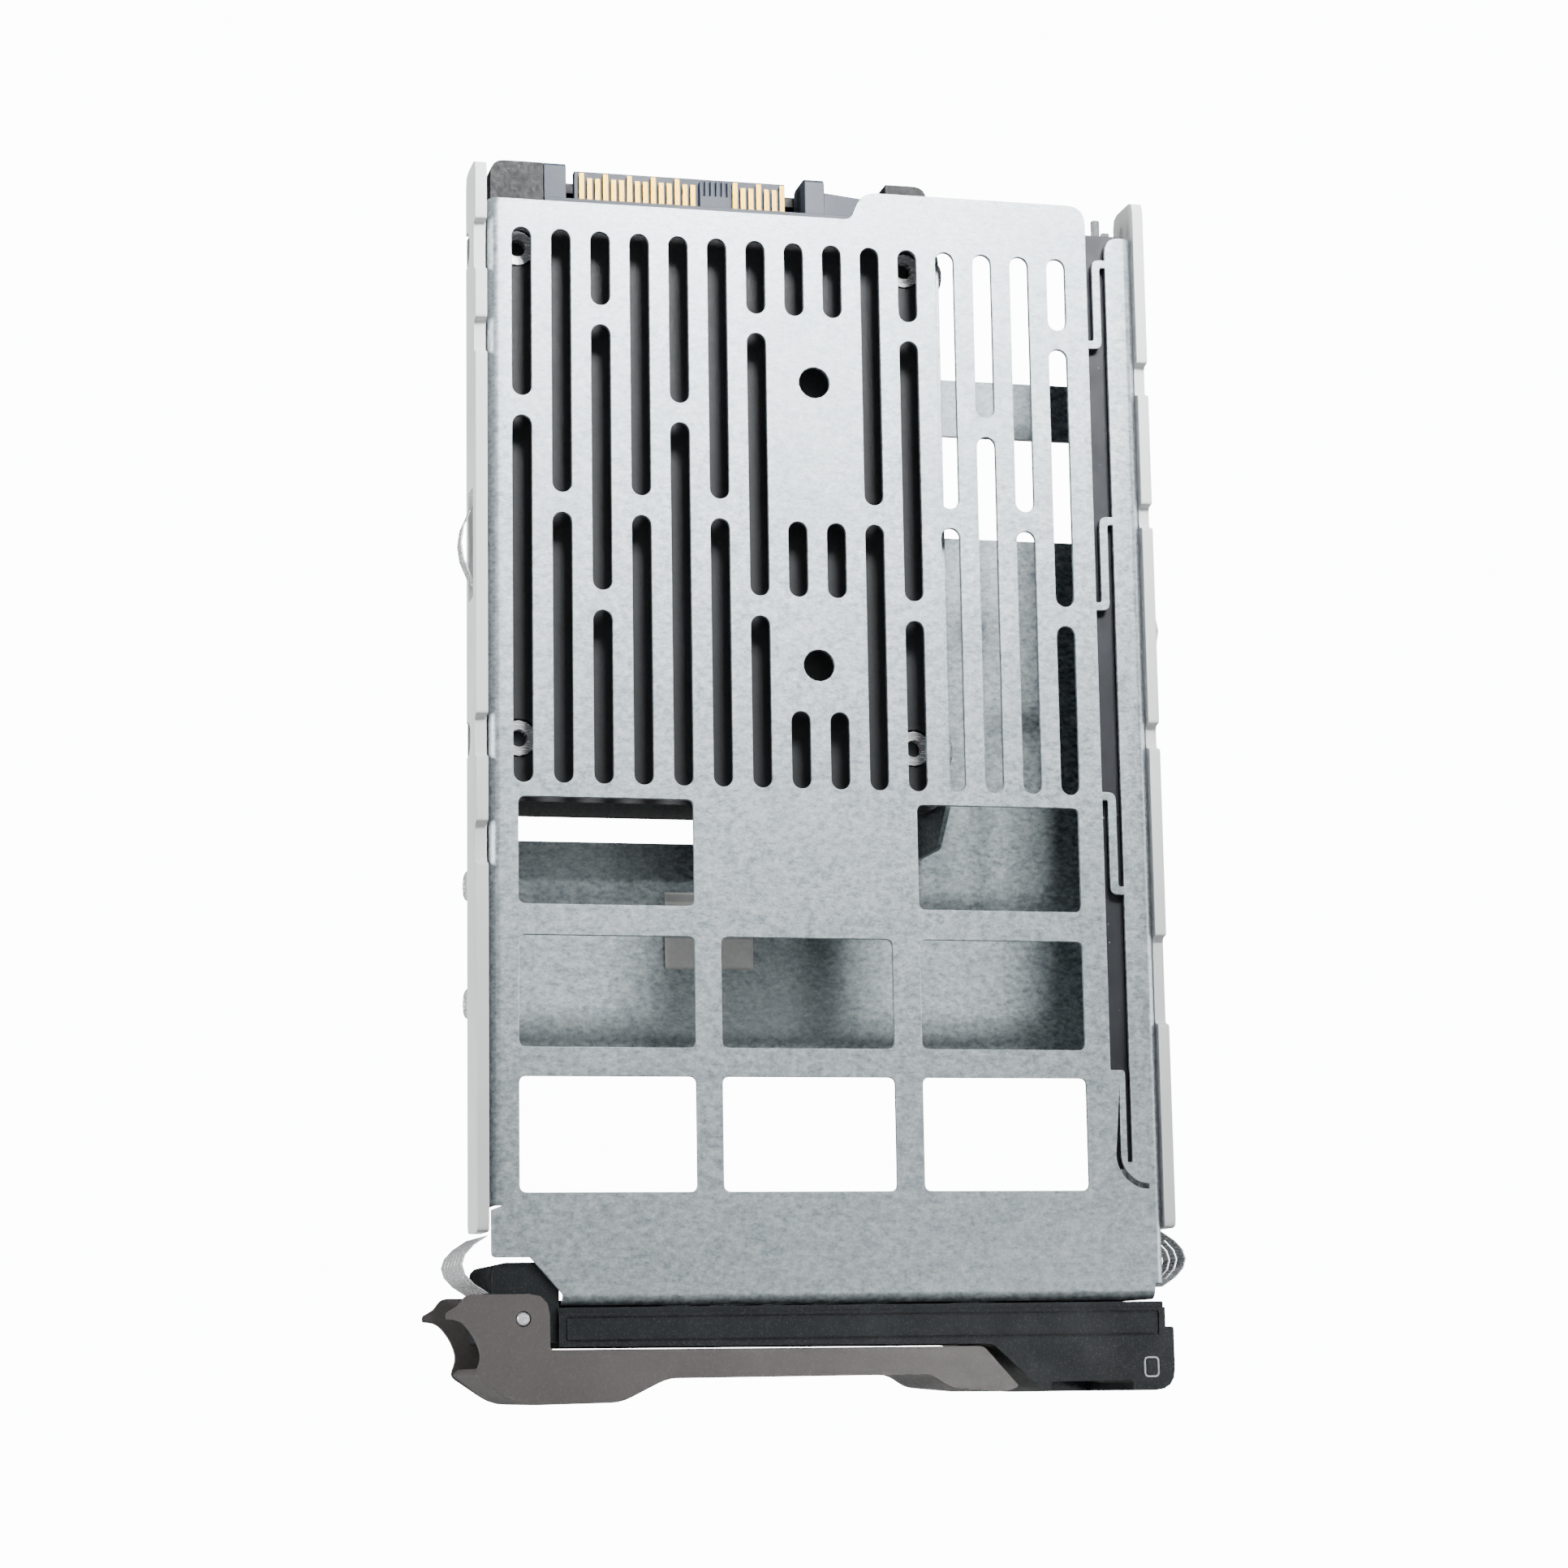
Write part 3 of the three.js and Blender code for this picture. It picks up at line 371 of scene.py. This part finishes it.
def refined(node, width):
    """The node's own shape with its flat faces merged and its sharp edges rounded off."""
    mesh = frame["nodes"][node].data.copy()
    b = bmesh.new()
    b.from_mesh(mesh)
    bmesh.ops.remove_doubles(b, verts=b.verts, dist=SAME_POINT)
    split_at_holes(b, HOLE_LINES.get(node, {}))
    bmesh.ops.dissolve_limit(b, angle_limit=FLAT, verts=b.verts, edges=b.edges, delimit={"SEAM"})
    for face in b.faces:
        face.smooth = True
    b.to_mesh(mesh)
    b.free()
    bevelled(surface(node, mesh), width)


# How far each node's edges are rounded, in mm.
REFINED = {
    "tray": 0.09, "adapter_bracket": 0.09, "left_rail": 0.3, "right_rail": 0.3, "ssd_cover": 0.1,
    "connector_housing": 0.12, "bezel": 0.18, "handle": 0.4, "release_button": 0.3, "latch": 0.15,
    "left_ground_spring": 0.04, "right_ground_spring": 0.04,
    "left_leaf_spring": 0.04, "right_leaf_spring": 0.04,
    "power_contacts": 0.04, "signal_contacts": 0.04, "circuit_board": 0.1, "thermal_pad": 0.2,
    "activity_light_pipe": 0.1, "status_light_pipe": 0.1, "light_pipe_shield": 0.05,
    "adapter_label": 0.04, "ssd_label": 0.04, "controller_chip": 0.08, "memory_chip": 0.08,
    **{f"flash_chip_{i}": 0.08 for i in (1, 2, 3, 4)},
}
for node_name, edge in REFINED.items():
    refined(node_name, edge * MM)


def mesh_of(b, name):
    mesh = bpy.data.meshes.new(name)
    b.to_mesh(mesh)
    b.free()
    return mesh


def turned_mesh(name, rings, sides):
    """A closed lathe mesh along +Z; each ring is (radius, height, depth of its six lobes)."""
    b = bmesh.new()
    loops = []
    for radius, height, lobe in rings:
        loop = []
        for i in range(sides):
            angle = 2 * math.pi * i / sides
            r = radius * (1 + lobe * math.cos(6 * angle))
            loop.append(b.verts.new((r * math.cos(angle), r * math.sin(angle), height)))
        loops.append(loop)
    for lower, upper in zip(loops, loops[1:]):
        for i in range(sides):
            j = (i + 1) % sides
            b.faces.new((lower[i], lower[j], upper[j], upper[i]))
    b.faces.new(list(reversed(loops[0])))
    b.faces.new(loops[-1])
    bmesh.ops.recalc_face_normals(b, faces=b.faces)
    for face in b.faces:
        face.smooth = True
    return mesh_of(b, name)


SCREW_SIDES = 48
LOBE = 0.13              # how far the driver recess waves in and out
TIP_CHAMFER = 0.2 * MM


def screw_rings(head, height, length):
    """The outline of a screw from its tip to the bottom of its recess, with the seat at 0."""
    shank = head * 0.47
    tip = height - length
    return [
        (shank * 0.8, tip, 0), (shank, tip + TIP_CHAMFER, 0), (shank, 0, 0),
        (head * 0.97, 0, 0), (head, height * 0.15, 0), (head, height * 0.55, 0),
        (head * 0.93, height * 0.82, 0), (head * 0.78, height, 0),
        (head * 0.46, height, LOBE), (head * 0.43, height * 0.93, LOBE), (head * 0.4, height * 0.4, LOBE),
    ]


def detailed_screw(node, axis, height):
    """A low round head with a six-lobed driver recess, and its shank, in the CAD screw's place."""
    low, high = (Vector(corner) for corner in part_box(node))
    along = max(range(3), key=lambda i: abs(axis[i]))
    across = 0 if along else 1
    head = (high - low)[across] / 2
    mesh = turned_mesh(node, screw_rings(head, height, (high - low)[along]), SCREW_SIDES)
    top = high if axis[along] > 0 else low
    seat = (low + high) / 2
    seat[along] = top[along] - axis[along] * height
    turn = Vector(axis).to_track_quat("Z", "Y").to_matrix().to_4x4()
    mesh.transform(Matrix.Translation(seat) @ turn)
    surface(node, mesh)


LEFT, RIGHT, BACK, UP = (-1, 0, 0), (1, 0, 0), (0, 1, 0), (0, 0, 1)
# Each kind of screw with its numbers, the way its head points and the height of its head in mm.
SCREWS = [
    ("drive_screw_left", (1, 2), LEFT, 1.0), ("drive_screw_right", (1, 2), RIGHT, 1.0),
    ("adapter_screw", (1, 2), LEFT, 1.0), ("adapter_screw", (3, 4), RIGHT, 1.0),
    ("cover_screw", (1, 2, 3, 4), BACK, 1.0), ("bezel_screw", (1, 2), UP, 1.2),
]
for kind, numbers, direction, head_height in SCREWS:
    for number in numbers:
        detailed_screw(f"{kind}_{number}", direction, head_height * MM)


def rounded_loop(b, corners, r, y):
    """New points round a rectangle in X and Z, with its corners rounded to r."""
    left, low, right, high = corners
    turns = ((right - r, high - r, 0), (left + r, high - r, 90),
             (left + r, low + r, 180), (right - r, low + r, 270))
    points = []
    for x, z, start in turns:
        for step in range(0, 91, 15):
            angle = math.radians(start + step)
            points.append(b.verts.new((x + r * math.cos(angle), y, z + r * math.sin(angle))))
    return points


def symbol_inlay():
    """The pale line that fills the small rounded outline engraved in the bezel's right end."""
    left, low, right, high = 49.0 * MM, 2.57 * MM, 51.5 * MM, 5.77 * MM
    groove, slack, corner, tightest = 0.35 * MM, 0.05 * MM, 0.7 * MM, 0.2 * MM
    top, depth = -12.6 * MM, 0.24 * MM
    b = bmesh.new()
    loops = []
    for inset in (slack, groove - slack):
        corners = (left + inset, low + inset, right - inset, high - inset)
        loops.append(rounded_loop(b, corners, max(corner - inset, tightest), top))
    outer, inner = loops
    for i, vert in enumerate(outer):
        j = (i + 1) % len(outer)
        b.faces.new((vert, outer[j], inner[j], inner[i]))
    solid = bmesh.ops.extrude_face_region(b, geom=list(b.faces))
    moved = [part for part in solid["geom"] if isinstance(part, bmesh.types.BMVert)]
    bmesh.ops.translate(b, verts=moved, vec=(0, depth, 0))
    bmesh.ops.recalc_face_normals(b, faces=b.faces)
    added("symbol_inlay", mesh_of(b, "symbol_inlay"), "rail_plastic", BODY_OF["bezel"])


symbol_inlay()


# ---------------------------------------------------------------- camera, lights and floor
HEADING, TILT, ROLL = 13.92, 9.38, 0.92        # degrees: to the right of +Y, above level, clockwise
CAMERA_PLACE = Vector((-135.3, -536.2, 2.9)) * MM
SENSOR = 36              # mm
LENS = 82.97516          # mm
BACKDROP = 14.0          # bright enough to show as white
FLOOR_Z = -0.07          # below the reach of the open handle


def camera():
    data = bpy.data.cameras.new("camera")
    data.lens = LENS
    data.sensor_width = SENSOR
    data.clip_start = 0.01
    obj = bpy.data.objects.new("camera", data)
    bpy.context.scene.collection.objects.link(obj)
    aim = Euler((math.radians(90 + TILT), 0, -math.radians(HEADING))).to_matrix()
    turn = Matrix.Rotation(-math.radians(ROLL), 3, "Z")
    obj.matrix_world = Matrix.Translation(CAMERA_PLACE) @ (aim @ turn).to_4x4()
    bpy.context.scene.camera = obj


def area_light(name, place, target, size, power, spread=180):
    data = bpy.data.lights.new(name, "AREA")
    data.spread = math.radians(spread)
    data.shape = "RECTANGLE"
    data.size, data.size_y = size
    data.energy = power
    obj = bpy.data.objects.new(name, data)
    obj.location = place
    obj.rotation_euler = (Vector(target) - Vector(place)).to_track_quat("-Z", "Y").to_euler()
    bpy.context.scene.collection.objects.link(obj)


def world():
    """Soft studio light that grows from the horizon upwards, in front of a white backdrop."""
    w = bpy.data.worlds.new("studio")
    w.use_nodes = True
    tree = w.node_tree
    background = tree.nodes["Background"]
    direction = tree.nodes.new("ShaderNodeTexCoord")
    split = tree.nodes.new("ShaderNodeSeparateXYZ")
    height = tree.nodes.new("ShaderNodeMapRange")
    for key, value in (("From Min", -0.25), ("From Max", 0.75), ("To Min", 0.02), ("To Max", 0.14)):
        height.inputs[key].default_value = value
    seen = tree.nodes.new("ShaderNodeLightPath")
    strength = tree.nodes.new("ShaderNodeMix")
    strength.inputs[3].default_value = BACKDROP
    tree.links.new(direction.outputs["Generated"], split.inputs[0])
    tree.links.new(split.outputs["Z"], height.inputs["Value"])
    tree.links.new(seen.outputs["Is Camera Ray"], strength.inputs[0])
    tree.links.new(height.outputs[0], strength.inputs[2])
    tree.links.new(strength.outputs[0], background.inputs["Strength"])
    background.inputs["Color"].default_value = (0.97, 0.99, 1.0, 1)
    bpy.context.scene.world = w


def floor():
    b = bmesh.new()
    bmesh.ops.create_grid(b, x_segments=4, y_segments=4, size=3)
    mesh = mesh_of(b, "floor")
    obj = bpy.data.objects.new("floor", mesh)
    obj.location = (0, 0, FLOOR_Z)
    bpy.context.scene.collection.objects.link(obj)
    s = Shader("floor_paint", (0.35, 0.35, 0.35), 0.9)
    s.color(s.ramp(s.noise(3, 2, 0.5), [(0.3, (0.34, 0.34, 0.34)), (0.7, (0.36, 0.36, 0.36))]))
    seen = s.add("ShaderNodeLightPath")
    s.set("Emission Color", (1, 1, 1, 1))
    s.link(s.scaled(seen.outputs["Is Camera Ray"], 0.0, BACKDROP), s.shader.inputs["Emission Strength"])
    mesh.materials.append(s.material)


camera()
world()
floor()
area_light("front", (-0.12, -1.1, 0.12), (0, 0, 0.1), (0.9, 0.9), 1.45)
area_light("key", (0.08, -0.46, 0.46), (0.02, 0, 0.29), (0.22, 0.16), 1.7, 54)
area_light("low", (0.25, -0.5, -0.05), (0.035, 0, -0.002), (0.2, 0.06), 0.022, 24)
area_light("side", (-0.75, -0.1, 0.16), (-0.06, 0, 0.1), (0.25, 0.5), 9)
area_light("right", (0.7, -0.1, 0.16), (0.06, 0, 0.1), (0.3, 0.5), 5)
